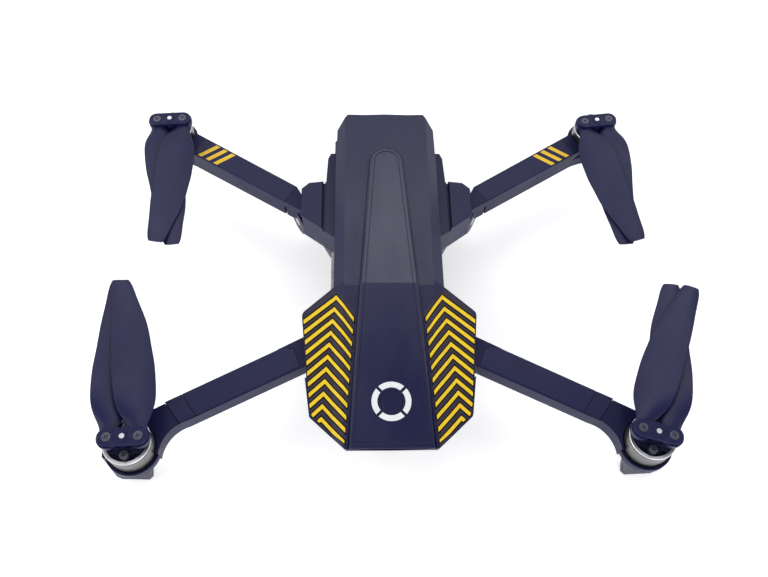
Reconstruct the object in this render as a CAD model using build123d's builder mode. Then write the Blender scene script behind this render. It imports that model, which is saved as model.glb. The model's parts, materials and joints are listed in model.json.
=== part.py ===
from build123d import *

import os
from math import cos, hypot, radians, sin, sqrt

# Folding four-rotor camera drone, standing on its feet with the arms out and the
# propeller blades folded. Millimetres. +Z up, nose towards -Y, X to the right.
# The origin is on the ground, under the middle of the four motors.

# ---- driving dimensions -------------------------------------------------------
FRONT_MOTOR_X = 100.0  # motor axes from the centre plane
REAR_MOTOR_X = 100.7
MOTOR_Y = 77.6  # motor axes fore and aft of the origin
FRONT_RIM_Z = 44.0  # top rim of the front motor bells
REAR_RIM_Z = 37.0  # the rear motors sit lower, so the arms fold at two levels

BODY_NOSE_Y = -80.2
BODY_TAIL_Y = 79.4
BODY_HALF = 22.9  # half width of the body behind the shoulders
SPLIT_Z = 26.8  # joint between the bottom and the top shell
SHELL_WALL = 2.0
BELLY_Z = 8.0
DECK_Z = 44.6  # shell deck beside the spine cover
RIDGE_X = 18.8  # crease between the deck and the edge facet
RIDGE_Z = 45.6
SLOPE_START_Y = -12.0  # ahead of this the deck falls to the nose
DECK_SLOPE = 0.105
SPINE_TOP_Z = 47.2
SPINE_SLOPE = 0.125
SHOULDER_UNDER_Z = 37.3  # the shoulders overhang the front arms
UNDERCUT = 0.31  # below the shoulders the nose leans back by this slope

SPINE_NOSE_HALF = 17.1
SPINE_TAIL_HALF = 7.6
SPINE_ARCH_Y = 50.0
SPINE_TAIL_Y = 58.0
GROOVE_INSET = 2.1
GROOVE_WIDTH = 0.35
GROOVE_DEPTH = 0.3

FRONT_ARM_Z = (29.6, 37.0)
FRONT_HINGE = (29.0, -35.0)
FRONT_ARM_HALF = 6.05
HINGE_R = 5.7  # round root of a front arm
REAR_ARM_Z = (23.0, 33.0)
REAR_HINGE = (36.0, 37.1)
REAR_HINGE_Z = 22.0
REAR_ARM_HALF = (4.9, 5.4)  # at the root and at the motor
COVER_THICK = 1.2
KNUCKLE_R = 6.5  # round root of a rear arm
PIN_R = 2.0
PIN_FIT = 0.05  # running clearance of the arms on their pins

BELL_R = 9.2
BELL_WALL = 0.9
BELL_HEIGHT = 11.2
CUP_R = 10.6
CUP_FLOOR = 1.6
CUP_TAPER = (1.6, 1.8)  # bevel of the cup's lower edge, inward and upward
CUP_BORE_R = 9.6
SHAFT_R = 1.0
BLADE_PIVOT = 5.8  # blade pivots from the motor axis
BLADE_HOLE_R = 1.05
BLADE_LENGTH = 67.4
CLAMP_HALF_WIDTH = 3.45

CAMERA_AXIS = (-62.6, 14.5)  # Y and Z of the tilt axis
CAMERA_R = 7.6

GAP = 0.15  # seams between pieces that touch

os.makedirs("parts", exist_ok=True)


def keep(piece, name):
    """Label a finished piece and write it to its own STEP file."""
    piece.part.label = name
    export_step(piece.part, f"parts/{name}.step")


def unit(x, y):
    """A direction in plan, one unit long."""
    size = hypot(x, y)
    return x / size, y / size


def flip(side, points):
    """Points given for the right-hand side (+X), moved to the side asked for."""
    return [(side * x, y) for x, y in points]


def both_sides(points):
    """A half outline on +X, closed by its own mirror image."""
    return points + [(-x, y) for x, y in reversed(points) if x > 0]


# ---- body: deck surfaces ------------------------------------------------------
def deck(section, slope):
    """A section in X and Z, run level from the tail and then falling to the nose."""
    rear_run = BODY_TAIL_Y + 4 - SLOPE_START_Y
    front_run = SLOPE_START_Y - BODY_NOSE_Y + 6
    with BuildPart() as solid:
        with BuildSketch(Plane.XZ.offset(-(BODY_TAIL_Y + 4))):
            with BuildLine():
                Polyline(*both_sides(section), close=True)
            make_face()
        extrude(amount=rear_run)
        with BuildSketch(Plane.XZ.offset(-SLOPE_START_Y)):
            with BuildLine():
                Polyline(*both_sides(section), close=True)
            make_face()
        extrude(amount=front_run * sqrt(1 + slope**2), dir=(0, -1, -slope))
    return solid.part


def roof_section(drop):
    """The shell's outer cross-section, lowered by drop."""
    top = [(0, DECK_Z), (10, DECK_Z + 0.2), (RIDGE_X, RIDGE_Z), (23.2, 44.0), (40, 42.6)]
    return [(x, z - drop) for x, z in top] + [(40, 0), (0, 0)]


def rear_edge_section(drop):
    """Behind the shoulders the edge facet falls faster to the side walls."""
    top = [(0, DECK_Z), (10, DECK_Z + 0.2), (RIDGE_X, RIDGE_Z), (BODY_HALF + 0.6, 41.6)]
    return [(x, z - drop) for x, z in top] + [(BODY_HALF + 0.6, 0), (0, 0)]


def spine_outline(grow):
    """Plan of the spine cover: straight tapering sides and a round tail end."""
    nose = (SPINE_NOSE_HALF + grow, BODY_NOSE_Y + 0.5 - grow)
    shoulder = (SPINE_TAIL_HALF + grow, SPINE_ARCH_Y)
    with BuildSketch(Plane.XY) as plan:
        with BuildLine():
            Polyline((-shoulder[0], shoulder[1]), (-nose[0], nose[1]), nose, shoulder)
            ThreePointArc(shoulder, (0, SPINE_TAIL_Y + grow), (-shoulder[0], shoulder[1]))
        make_face()
    return plan.sketch


CORE_PLAN = [
    (0, BODY_TAIL_Y),
    (17.6, BODY_TAIL_Y - 0.9),
    (22.4, 71.4),
    (BODY_HALF, 50),
    (BODY_HALF + 0.4, -12.8),
    (22.7, -43.6),
    (34.4, -50.6),
    (32.3, -66.6),
    (18.2, BODY_NOSE_Y + 0.4),
    (0, BODY_NOSE_Y),
]
SHOULDER_PLAN = [
    (0, -8),
    (20.0, -10.4),
    (23.6, -12.9),
    (36.2, -23.3),
    (32.3, -66.6),
    (18.2, BODY_NOSE_Y + 0.4),
    (0, BODY_NOSE_Y),
]
RING_Y = -61.5
RING_R = (5.5, 7.9)
BUTTON_R = 4.3
ring_z = SPINE_TOP_Z - SPINE_SLOPE * (SLOPE_START_Y - RING_Y)
ring_plane = Plane(origin=(0, RING_Y, ring_z), x_dir=(1, 0, 0), z_dir=(0, -SPINE_SLOPE, 1))
LATCH_Y = (64.0, 72.0)
LATCH_Z = (29.0, 34.0)


def corner_round(sketch, low_y, high_y, radius):
    """Round the outline's corners whose Y lies between two values."""
    picked = [v for v in sketch.vertices() if low_y < v.Y < high_y and abs(v.X) > 1]
    fillet(picked, radius)


def nose_undercut():
    """Wedges that lean the nose and its two chamfered corners back towards the belly."""
    reach = SHOULDER_UNDER_Z * UNDERCUT
    wedge = [(0, 0), (-reach, -SHOULDER_UNDER_Z), (25, -SHOULDER_UNDER_Z), (25, 0)]
    outward = unit(CORE_PLAN[7][1] - CORE_PLAN[8][1], CORE_PLAN[8][0] - CORE_PLAN[7][0])
    with BuildPart() as wedges:
        for x, y, out_x, out_y in (
            (0, BODY_NOSE_Y, 0, -1),
            (*CORE_PLAN[8], outward[0], outward[1]),
            (-CORE_PLAN[8][0], CORE_PLAN[8][1], -outward[0], outward[1]),
        ):
            lean = Plane(origin=(x, y, SHOULDER_UNDER_Z), x_dir=(out_x, out_y, 0), z_dir=(out_y, -out_x, 0))
            with BuildSketch(lean):
                Polygon(*wedge, align=None)
            extrude(amount=60, both=True)
    return wedges.part


with BuildPart() as top_shell:
    with BuildSketch(Plane.XY.offset(SPLIT_Z)) as core_plan:
        with BuildLine():
            Polyline(*both_sides(CORE_PLAN), close=True)
        make_face()
        corner_round(core_plan, -68, -45, 2.5)
    extrude(amount=30)
    add(deck(rear_edge_section(0), DECK_SLOPE), mode=Mode.INTERSECT)

with BuildPart() as shoulders:
    with BuildSketch(Plane.XY.offset(SHOULDER_UNDER_Z)) as shoulder_plan:
        with BuildLine():
            Polyline(*both_sides(SHOULDER_PLAN), close=True)
        make_face()
        corner_round(shoulder_plan, -70, -20, 3.0)
    extrude(amount=20)
    with BuildSketch(Plane.XY.offset(SPLIT_Z)) as cheek_plan:
        with BuildLine():
            Polyline(*both_sides([(0, -50.6)] + CORE_PLAN[6:]), close=True)
        make_face()
        corner_round(cheek_plan, -68, -52, 2.5)
    extrude(amount=20)
    add(deck(roof_section(0), DECK_SLOPE), mode=Mode.INTERSECT)

with BuildPart() as shell_cavity:
    with BuildSketch(Plane.XY.offset(SPLIT_Z - 1)):
        with Locations((0, (BODY_TAIL_Y + 6 - 70) / 2)):
            Rectangle(2 * (BODY_HALF - 2.5), BODY_TAIL_Y + 6 + 70)
    extrude(amount=40)
    add(deck(rear_edge_section(SHELL_WALL), DECK_SLOPE), mode=Mode.INTERSECT)

with BuildPart() as spine_recess:
    add(extrude(spine_outline(GAP), 80))
    recess = [(0, DECK_Z - 0.05), (30, DECK_Z - 0.05), (30, 90), (0, 90)]
    add(deck(recess, DECK_SLOPE), mode=Mode.INTERSECT)

with top_shell:
    add(shoulders.part)
    add(nose_undercut(), mode=Mode.SUBTRACT)
    add(shell_cavity.part, mode=Mode.SUBTRACT)
    add(spine_recess.part, mode=Mode.SUBTRACT)
    # Slots for the battery latches, open to the tail.
    with BuildSketch(Plane.XY.offset(LATCH_Z[0] - 0.5)):
        for side in (-1, 1):
            with Locations((side * BODY_HALF, BODY_TAIL_Y - 5)):
                Rectangle(8, 2 * (BODY_TAIL_Y - 5 - LATCH_Y[0] + 0.5))
    extrude(amount=LATCH_Z[1] - LATCH_Z[0] + 1, mode=Mode.SUBTRACT)
    # Sockets for the tops of the front hinge pins.
    with BuildSketch(Plane.XY.offset(SHOULDER_UNDER_Z)):
        with Locations(*flip(1, [FRONT_HINGE]), *flip(-1, [FRONT_HINGE])):
            Circle(PIN_R + 0.02)
    extrude(amount=1.8, mode=Mode.SUBTRACT)
keep(top_shell, "top_shell")

# A fine groove runs round the top of the spine cover, inside its bevelled edge.
with BuildPart() as spine_groove:
    add(extrude(spine_outline(-GROOVE_INSET), 80))
    add(extrude(spine_outline(-GROOVE_INSET - GROOVE_WIDTH), 80), mode=Mode.SUBTRACT)
    floor_z = SPINE_TOP_Z - GROOVE_DEPTH
    add(deck([(0, 0), (30, 0), (30, floor_z), (0, floor_z)], SPINE_SLOPE), mode=Mode.SUBTRACT)

with BuildPart() as spine_cover:
    add(extrude(spine_outline(0), 80))
    under = [(0, DECK_Z), (30, DECK_Z), (30, 90), (0, 90)]
    add(deck(under, DECK_SLOPE), mode=Mode.INTERSECT)
    over = [(0, 0), (30, 0), (30, SPINE_TOP_Z), (0, SPINE_TOP_Z)]
    add(deck(over, SPINE_SLOPE), mode=Mode.INTERSECT)
    top_faces = [f for f in faces() if f.normal_at().Z > 0.9]
    rim = [e for f in top_faces for e in f.edges() if abs(e.center().Y - SLOPE_START_Y) > 1]
    rim = [e for e in rim if e.center().Y > BODY_NOSE_Y + 3]
    chamfer(rim, 0.9)
    add(spine_groove.part, mode=Mode.SUBTRACT)
    # Blind well of the power button, and the light ring's channel round it.
    with BuildSketch(ring_plane):
        Circle(BUTTON_R + 0.2)
    extrude(amount=-1.4, mode=Mode.SUBTRACT)
    with BuildSketch(ring_plane):
        Circle(RING_R[1])
        Circle(RING_R[0], mode=Mode.SUBTRACT)
    extrude(amount=-0.5, mode=Mode.SUBTRACT)
keep(spine_cover, "spine_cover")

# Battery-level lights: four arcs with gaps, inlaid in the spine cover.
with BuildPart() as light_ring:
    with BuildSketch(ring_plane.offset(-0.5)):
        Circle(RING_R[1] - 0.05)
        Circle(RING_R[0] + 0.05, mode=Mode.SUBTRACT)
        with PolarLocations(0, 4, start_angle=45):
            with Locations((RING_R[1] - 1, 0)):
                Rectangle(6, 1.2, mode=Mode.SUBTRACT)
    extrude(amount=0.55)
keep(light_ring, "light_ring")

with BuildPart() as power_button:
    with BuildSketch(ring_plane.offset(-0.6)):
        Circle(BUTTON_R)
    extrude(amount=0.7)
    chamfer(edges().group_by(Axis.Z)[-1], 0.2)
keep(power_button, "power_button")

# ---- bottom shell -------------------------------------------------------------
BELLY_HALF = 14.0
FLOOR_HALF = 22.3
BAY_HALF = 11.6  # camera bay under the nose
BAY_Y = -50.5
SCREW_SPOTS = [(11.0, -40.0), (11.0, -6.0), (11.0, 66.0)]
PAD_SPOT = (15.0, 56.0)
BEARING_Z = (25.6, 29.2)  # bosses under the front hinges
WEB_TOP_Z = 26.6  # webs that carry the bosses
BOARD_Y = (-47.0, 1.0)
BOARD_Z = 20.0
POST_X = 14.0

belly = [(0, BELLY_Z), (BELLY_HALF, BELLY_Z), (FLOOR_HALF - 0.5, 15), (FLOOR_HALF, SPLIT_Z - 0.1)]
belly.append((0, SPLIT_Z - 0.1))
with BuildPart() as bottom_shell:
    with BuildSketch(Plane.XZ.offset(-BODY_TAIL_Y)):
        with BuildLine():
            Polyline(*both_sides(belly), close=True)
        make_face()
    extrude(amount=BODY_TAIL_Y - BODY_NOSE_Y)
    # Cheeks under the shoulders, ahead of the front arms.
    with BuildSketch(Plane.XY.offset(18.0)) as cheeks:
        with BuildLine():
            Polyline(*both_sides([(0, -53.2)] + [(31.5, -54.4)] + CORE_PLAN[7:]), close=True)
        make_face()
        corner_round(cheeks, -70, -53.5, 2.5)
    extrude(amount=SPLIT_Z - 18.1)
    # Trim the nose and the tail to the shell's plan.
    with BuildSketch(Plane.XY):
        with BuildLine():
            Polyline(
                *both_sides([(0, 79.2), (17.4, 78.3), (22.2, 71.2), (22.4, 0), (34, -40)] + CORE_PLAN[6:]),
                close=True,
            )
        make_face()
    extrude(amount=40, mode=Mode.INTERSECT)
    add(nose_undercut(), mode=Mode.SUBTRACT)
    # Battery bay and electronics bay, one hollow that is open at the tail.
    with BuildSketch(Plane.XZ.offset(-(BODY_TAIL_Y + 2))):
        with BuildLine():
            Polyline(
                *both_sides([(0, 10.2), (13.2, 10.2), (20.2, 16.6), (20.2, 40), (0, 40)]),
                close=True,
            )
        make_face()
    extrude(amount=BODY_TAIL_Y + 2 - BAY_Y - 2, mode=Mode.SUBTRACT)
    # Camera bay, open to the front and below.
    with BuildSketch(Plane.XY):
        with Locations((0, (BAY_Y + BODY_NOSE_Y - 4) / 2)):
            Rectangle(2 * BAY_HALF, BAY_Y - BODY_NOSE_Y + 4)
    extrude(amount=24.4, mode=Mode.SUBTRACT)
    # Lower bosses of the front arm hinges, each on a web from the side wall.
    with BuildSketch(Plane.XY.offset(BEARING_Z[0])):
        with Locations(*flip(1, [FRONT_HINGE]), *flip(-1, [FRONT_HINGE])):
            Circle(HINGE_R)
    extrude(amount=BEARING_Z[1] - BEARING_Z[0])
    with BuildSketch(Plane.XY.offset(BEARING_Z[0])):
        for side in (-1, 1):
            with Locations((side * 24.6, FRONT_HINGE[1])):
                Rectangle(8.8, 2 * HINGE_R)
    extrude(amount=WEB_TOP_Z - BEARING_Z[0])
    with BuildSketch(Plane.XY.offset(BEARING_Z[0] - 1)):
        with Locations(*flip(1, [FRONT_HINGE]), *flip(-1, [FRONT_HINGE])):
            Circle(PIN_R + 0.02)
    extrude(amount=BEARING_Z[1] - BEARING_Z[0] + 2, mode=Mode.SUBTRACT)
    # Posts that carry the main board.
    with BuildSketch(Plane.XY.offset(10.0)):
        for side in (-1, 1):
            with Locations((side * POST_X, BOARD_Y[0] + 4), (side * POST_X, BOARD_Y[1] - 4)):
                Circle(2.0)
    extrude(amount=BOARD_Z - 10.0)
    # Counterbored screw holes and the sockets of the landing pads.
    for side in (-1, 1):
        with BuildSketch(Plane.XY.offset(BELLY_Z - 1)):
            with Locations(*flip(side, SCREW_SPOTS)):
                Circle(2.6)
        extrude(amount=2.0, mode=Mode.SUBTRACT)
        with BuildSketch(Plane.XY.offset(BELLY_Z - 1)):
            with Locations(*flip(side, SCREW_SPOTS)):
                Circle(1.1)
        extrude(amount=6, mode=Mode.SUBTRACT)
        with BuildSketch(Plane.XY.offset(BELLY_Z - 5)):
            with Locations(*flip(side, [PAD_SPOT])):
                Circle(4.0)
        extrude(amount=6.2, mode=Mode.SUBTRACT)
    # Windows of the downward sensors.
    with BuildSketch(Plane.XY.offset(BELLY_Z - 1)):
        with Locations((-6, -24), (6, -24)):
            Circle(3.2)
    extrude(amount=1.8, mode=Mode.SUBTRACT)
keep(bottom_shell, "bottom_shell")

with BuildPart() as landing_pads:
    for side in (-1, 1):
        with BuildSketch(Plane.XY):
            with Locations(*flip(side, [PAD_SPOT])):
                Circle(3.9)
        extrude(amount=BELLY_Z + 1.1)
    chamfer(edges().group_by(Axis.Z)[0], 0.8)
keep(landing_pads, "landing_pads")

with BuildPart() as belly_sensors:
    with BuildSketch(Plane.XY.offset(BELLY_Z + 0.1)):
        with Locations((-6, -24), (6, -24)):
            Circle(3.15)
    extrude(amount=0.65)
keep(belly_sensors, "belly_sensors")

with BuildPart() as body_screws:
    for side in (-1, 1):
        with BuildSketch(Plane.XY.offset(BELLY_Z + 0.1)):
            with Locations(*flip(side, SCREW_SPOTS)):
                Circle(2.5)
        extrude(amount=0.9)
        with BuildSketch(Plane.XY.offset(BELLY_Z + 0.1)):
            with Locations(*flip(side, SCREW_SPOTS)):
                RectangleRounded(2.2, 0.5, 0.2)
                RectangleRounded(0.5, 2.2, 0.2)
        extrude(amount=0.5, mode=Mode.SUBTRACT)
        with BuildSketch(Plane.XY.offset(BELLY_Z + 1.0)):
            with Locations(*flip(side, SCREW_SPOTS)):
                Circle(1.05)
        extrude(amount=1.8)
keep(body_screws, "body_screws")

with BuildPart() as main_board:
    with BuildSketch(Plane.XY.offset(BOARD_Z)):
        with Locations((0, sum(BOARD_Y) / 2)):
            RectangleRounded(34, BOARD_Y[1] - BOARD_Y[0], 2)
    extrude(amount=1.4)
    with BuildSketch(Plane.XY.offset(BOARD_Z + 1.4)):
        with Locations((0, -13)):
            Rectangle(14, 14)
        with Locations((-9, -35), (9, -35)):
            Rectangle(8, 8)
        with Locations((0, -4)):
            Rectangle(16, 5)
        with Locations((-14, -21), (14, -21)):
            Rectangle(4, 9)
    extrude(amount=1.6)
keep(main_board, "main_board")

# ---- battery ------------------------------------------------------------------
BATTERY_HALF = 19.4
CAP_FRONT_Y = 74.0
LATCH_POCKET_X = 17.4
with BuildPart() as battery_pack:
    with BuildSketch(Plane.XZ.offset(-CAP_FRONT_Y)):
        with BuildLine():
            Polyline(
                *both_sides([(0, 12.0), (12.4, 12.0), (BATTERY_HALF, 17.8), (BATTERY_HALF, 38.0), (0, 38.0)]),
                close=True,
            )
        make_face()
    extrude(amount=CAP_FRONT_Y - 2)
    with BuildSketch(Plane.XZ.offset(-BODY_TAIL_Y)):
        with BuildLine():
            Polyline(
                *both_sides([(0, 10.6), (12.8, 10.6), (19.8, 17.0), (19.8, 41.2), (0, 41.9)]),
                close=True,
            )
        make_face()
    extrude(amount=BODY_TAIL_Y - CAP_FRONT_Y)
    with BuildSketch(Plane.XY):
        with BuildLine():
            Polyline(
                *both_sides([(0, BODY_TAIL_Y), (17.4, 78.4), (19.8, 75.2), (19.8, 0), (0, 0)]),
                close=True,
            )
        make_face()
    extrude(amount=50, mode=Mode.INTERSECT)
    # Pockets behind the latches, finger grooves and the charging socket.
    with BuildSketch(Plane.XY.offset(LATCH_Z[0] - 0.4)):
        for side in (-1, 1):
            with Locations((side * (LATCH_POCKET_X + 2), sum(LATCH_Y) / 2)):
                Rectangle(4, LATCH_Y[1] - LATCH_Y[0] + 0.8)
    extrude(amount=LATCH_Z[1] - LATCH_Z[0] + 0.8, mode=Mode.SUBTRACT)
    with BuildSketch(Plane.XZ.offset(-BODY_TAIL_Y - 1)):
        with Locations((0, 30.2), (0, 34.2)):
            SlotOverall(24, 1.6)
    extrude(amount=2.0, mode=Mode.SUBTRACT)
    with BuildSketch(Plane.XZ.offset(-BODY_TAIL_Y - 1)):
        with Locations((0, 19.0)):
            SlotOverall(9.0, 3.2)
    extrude(amount=5.0, mode=Mode.SUBTRACT)
keep(battery_pack, "battery_pack")

for side, place in ((-1, "left"), (1, "right")):
    with BuildPart() as latch:
        with BuildSketch(Plane.XY.offset(LATCH_Z[0])):
            with Locations((side * 21.4, sum(LATCH_Y) / 2)):
                Rectangle(4.4, LATCH_Y[1] - LATCH_Y[0])
        extrude(amount=LATCH_Z[1] - LATCH_Z[0])
        outer = edges().filter_by(Axis.Z).sort_by(lambda e: side * e.center().X)[-2:]
        fillet(outer, 0.8)
        # Grip ribs on the pressed face.
        with BuildSketch(Plane.XY.offset(LATCH_Z[0] - 1)):
            for n in range(3):
                with Locations((side * 23.6, LATCH_Y[0] + 2.2 + 1.8 * n)):
                    Rectangle(0.6, 0.7)
        extrude(amount=8, mode=Mode.SUBTRACT)
    keep(latch, f"battery_latch_{place}")

# ---- camera -------------------------------------------------------------------
CAMERA_HALF = 8.4
EAR_X = (9.0, 10.8)
TRUNNION_R = 1.5
camera_y, camera_z = CAMERA_AXIS
with BuildPart() as camera_bracket:
    with BuildSketch(Plane.YZ.offset(EAR_X[0])):
        with BuildLine():
            Polyline(
                (camera_y + 3.4, camera_z),
                (camera_y + 6.0, 24.3),
                (BAY_Y - 0.3, 24.3),
                (BAY_Y - 0.3, 21.0),
                (camera_y + 5.0, 11.5),
                (camera_y, 11.1),
                (camera_y - 3.4, camera_z),
                close=True,
            )
        make_face()
        with Locations((camera_y, camera_z)):
            Circle(3.4)
    extrude(amount=EAR_X[1] - EAR_X[0])
    mirror(about=Plane.YZ)
    with BuildSketch(Plane.XY.offset(22.9)):
        with Locations((0, BAY_Y - 2.2)):
            Rectangle(2 * EAR_X[1], 3.8)
    extrude(amount=1.4)
    with BuildSketch(Plane.YZ.offset(-15)):
        with Locations((camera_y, camera_z)):
            Circle(TRUNNION_R + 0.05)
    extrude(amount=30, mode=Mode.SUBTRACT)
keep(camera_bracket, "camera_bracket")

BARREL_R = 5.3
BARREL_END = 9.3
with BuildPart() as camera_housing:
    with BuildSketch(Plane.YZ.offset(-CAMERA_HALF)):
        with Locations((camera_y, camera_z)):
            Circle(CAMERA_R)
    extrude(amount=2 * CAMERA_HALF)
    fillet(edges().filter_by(GeomType.CIRCLE), 1.6)
    with BuildSketch(Plane.XZ.offset(-camera_y)):
        with Locations((0, camera_z)):
            Circle(BARREL_R)
    extrude(amount=BARREL_END)
    chamfer(faces().sort_by(Axis.Y)[0].edges(), 0.5)
    with BuildSketch(Plane.XZ.offset(-camera_y + BARREL_END + 1)):
        with Locations((0, camera_z)):
            Circle(BARREL_R - 0.9)
    extrude(amount=-2.4, mode=Mode.SUBTRACT)
    with BuildSketch(Plane.YZ.offset(-(EAR_X[1] - 0.1))):
        with Locations((camera_y, camera_z)):
            Circle(TRUNNION_R)
    extrude(amount=2 * (EAR_X[1] - 0.1))
keep(camera_housing, "camera_housing")

with BuildPart() as camera_lens:
    with BuildSketch(Plane.XZ.offset(-camera_y + BARREL_END - 1.4)):
        with Locations((0, camera_z)):
            Circle(BARREL_R - 0.95)
    extrude(amount=0.7)
keep(camera_lens, "camera_lens")

# ---- hinge frames -------------------------------------------------------------
rear_reach = (REAR_MOTOR_X - REAR_HINGE[0], MOTOR_Y - REAR_HINGE[1])
rear_out = unit(*rear_reach)
# The rear arm turns over about this level line: half a turn swaps "along the arm"
# for "straight ahead", so the arm ends up beside the belly with its motor facing down.
rear_axis = unit(rear_out[0], rear_out[1] - 1)


def rear_hinge_plane(side, shift):
    """The joint face of a rear hinge: its normal is the hinge axis, pointing outward."""
    x = side * (REAR_HINGE[0] + shift * rear_axis[0])
    y = REAR_HINGE[1] + shift * rear_axis[1]
    normal = (side * rear_axis[0], rear_axis[1], 0)
    return Plane(origin=(x, y, REAR_HINGE_Z), x_dir=(0, 0, 1), z_dir=normal)


# ---- rear hinge blocks ---------------------------------------------------------
BLOCK_Z = (14.5, 36.9)
ROOF_UNDER_Z = 35.4  # clears the arm's root as it turns over
CORNER_UNDER_Z = 21.3  # clears the folded arm
BLOCK_PLAN = [
    (22.5, 63.3),
    (25.5, 63.3),
    (26.8, 60.2),
    (27.5, 46.9),
    (35.2, 46.0),
    (38.6, 42.8),
    (38.7, 28.4),
    (27.9, 20.4),
    (22.5, 16.6),
]
for side, place in ((-1, "left"), (1, "right")):
    with BuildPart() as rear_block:
        with BuildSketch(Plane.XY.offset(BLOCK_Z[0])) as block_plan:
            Polygon(*flip(side, BLOCK_PLAN), align=None)
            fillet([v for v in block_plan.vertices() if 34 < abs(v.X)], 1.2)
        extrude(amount=BLOCK_Z[1] - BLOCK_Z[0])
        # Past the joint face only the roof and a front corner remain round the arm's root.
        with BuildSketch(rear_hinge_plane(side, -0.15)):
            with Locations((CORNER_UNDER_Z - REAR_HINGE_Z - 20, 0)):
                Rectangle(40, 60)
            with Locations((ROOF_UNDER_Z - REAR_HINGE_Z - 20, side * (KNUCKLE_R + 0.6 - 30))):
                Rectangle(40, 60)
        extrude(amount=20, mode=Mode.SUBTRACT)
        # A lower strip along the shell, and a groove between it and the block.
        with BuildSketch(Plane.XY.offset(BLOCK_Z[1] - 1.3)):
            with Locations((side * 24.6, 45)):
                Rectangle(6.6, 60)
        extrude(amount=3, mode=Mode.SUBTRACT)
        with BuildSketch(Plane.XY.offset(BLOCK_Z[1] - 2.2)):
            with Locations((side * 28.3, 34)):
                Rectangle(0.8, 60)
        extrude(amount=3, mode=Mode.SUBTRACT)
        # Nothing stands inside the shells' side walls.
        with BuildSketch(Plane.XY):
            inside = [(0, 80), (17, 79.6), (22.5, 71.4), (23.0, 50), (23.4, 0), (0, 0)]
            Polygon(*flip(side, inside), align=None)
        extrude(amount=60, mode=Mode.SUBTRACT)
        with BuildSketch(rear_hinge_plane(side, -9)):
            Circle(PIN_R + 0.02)
        extrude(amount=10, mode=Mode.SUBTRACT)
        chamfer(edges().group_by(Axis.Z)[-1], 0.5)
    keep(rear_block, f"rear_hinge_block_{place}")

with BuildPart() as hinge_pins:
    for side in (-1, 1):
        with BuildSketch(Plane.XY.offset(BEARING_Z[0])):
            with Locations(*flip(side, [FRONT_HINGE])):
                Circle(PIN_R)
        extrude(amount=SHOULDER_UNDER_Z + 1.6 - BEARING_Z[0])
        with BuildSketch(rear_hinge_plane(side, -8.8)):
            Circle(PIN_R)
        extrude(amount=14.6)
keep(hinge_pins, "hinge_pins")

# ---- arms ----------------------------------------------------------------------
FRONT_DIR = unit(40.7, -20.8)  # along the right-hand front arm, outward
FRONT_MID = (79.8, -61.3)  # a point on its centre line
FRONT_BLEND = [(79.6, -67.4), (86.6, -72.3), (89.5, -80.4)]  # hollow curve into the cup
SEAMS = [(0.8, -1.3), (8.1, 5.3)]  # along the arm, at the rear and the front edge of each seam
FRONT_CUP_TOP = 34.6
REAR_CUP_Z = (23.0, 28.6)
WIRE_WIDTH = 5.0
WIRE_ROOF = 2.6  # from the top of the arm down to the wire channel


def beside(point, direction, along, across):
    """A point so far along a plan direction, and so far to its left."""
    x = point[0] + direction[0] * along - direction[1] * across
    y = point[1] + direction[1] * along + direction[0] * across
    return x, y


front_motor = (FRONT_MOTOR_X, -MOTOR_Y)
FRONT_BEAM = [
    beside(FRONT_MID, FRONT_DIR, -54.0, -FRONT_ARM_HALF),
    beside(FRONT_MID, FRONT_DIR, -54.0, FRONT_ARM_HALF),
    beside(front_motor, FRONT_DIR, -3.0, CUP_R - 0.4),
    front_motor,
    FRONT_BLEND[2],
]
FRONT_COVER = [
    beside(FRONT_MID, FRONT_DIR, -46.0, -FRONT_ARM_HALF + 1.0),
    beside(FRONT_MID, FRONT_DIR, -47.0, 3.0),
    beside(FRONT_MID, FRONT_DIR, -43.4, FRONT_ARM_HALF - 0.35),
    beside(FRONT_MID, FRONT_DIR, 7.7, FRONT_ARM_HALF - 0.35),
    beside(FRONT_MID, FRONT_DIR, 5.7, -FRONT_ARM_HALF + 1.0),
]


def channel(side, start, direction, first, last):
    """A straight wire channel inside an arm."""
    corners = [
        beside(start, direction, first, -WIRE_WIDTH / 2),
        beside(start, direction, first, WIRE_WIDTH / 2),
        beside(start, direction, last, WIRE_WIDTH / 2),
        beside(start, direction, last, -WIRE_WIDTH / 2),
    ]
    Polygon(*flip(side, corners), align=None)


def seam_cut(side, rear_along, front_along):
    """A narrow groove across a front arm, from its rear edge to its front edge."""
    rear = beside(FRONT_MID, FRONT_DIR, rear_along, FRONT_ARM_HALF + 2)
    front = beside(FRONT_MID, FRONT_DIR, front_along, -FRONT_ARM_HALF - 2)
    across = unit(front[0] - rear[0], front[1] - rear[1])
    corners = [
        beside(rear, across, 0, 0.16),
        beside(front, across, 0, 0.16),
        beside(front, across, 0, -0.16),
        beside(rear, across, 0, -0.16),
    ]
    Polygon(*flip(side, corners), align=None)


def motor_cup(side, motor, low, high):
    """The solid of a motor cup, bevelled round its lower edge. Its bore is cut later."""
    inward, upward = CUP_TAPER
    with BuildPart() as cup:
        with BuildSketch(Plane.XY.offset(low)):
            with Locations(*flip(side, [motor])):
                Circle(CUP_R - inward)
        with BuildSketch(Plane.XY.offset(low + upward)):
            with Locations(*flip(side, [motor])):
                Circle(CUP_R)
        loft()
        with BuildSketch(Plane.XY.offset(low + upward)):
            with Locations(*flip(side, [motor])):
                Circle(CUP_R)
        extrude(amount=high - low - upward)
    return cup.part


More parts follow.
